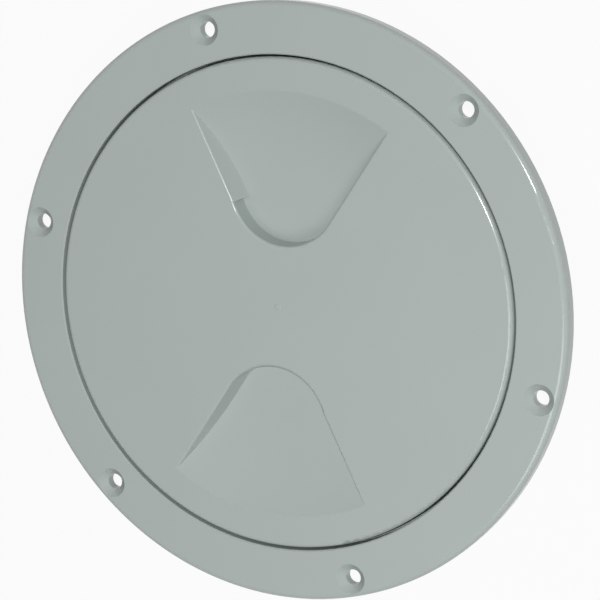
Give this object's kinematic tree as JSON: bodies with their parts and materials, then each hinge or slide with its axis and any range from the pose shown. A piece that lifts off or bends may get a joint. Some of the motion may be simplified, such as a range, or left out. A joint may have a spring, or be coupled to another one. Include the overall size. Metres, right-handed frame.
{
  "type": "deck inspection plate",
  "caption": "Round deck access plate: a flanged screw-down ring and a flush lid with sector-shaped finger recesses that screws into it against a rubber seal.",
  "frame": {"origin": "centre of the screw circle, in the deck's surface under the flange", "axes": "+Z out of the deck along the ring's axis, and +Y from the axis to one of the screw holes"},
  "size_m": [0.195, 0.195, 0.0195],
  "materials": {
    "ring_plastic": "moulded grey, soft gloss",
    "lid_plastic": "moulded grey, soft gloss",
    "seal_rubber": "black, matt"
  },
  "bodies": {
    "frame": {"frame_ring": "ring_plastic"},
    "seal": {"seal_ring": "seal_rubber"},
    "lid": {"screw_lid": "lid_plastic"}
  },
  "joints": [
    {"name": "lid_lift", "type": "slide", "parent": "frame", "child": "seal", "axis": [0, 0, 1], "range_m": [0, 0.018]},
    {"name": "lid_turn", "type": "hinge", "parent": "seal", "child": "lid", "pos_m": [0, 0, 0], "axis": [0, 0, 1], "range_deg": [0, 1080]}
  ],
  "couplings": [
    {"joint": "lid_lift", "follows": "lid_turn", "m_per_rad": 0.00095492}
  ]
}
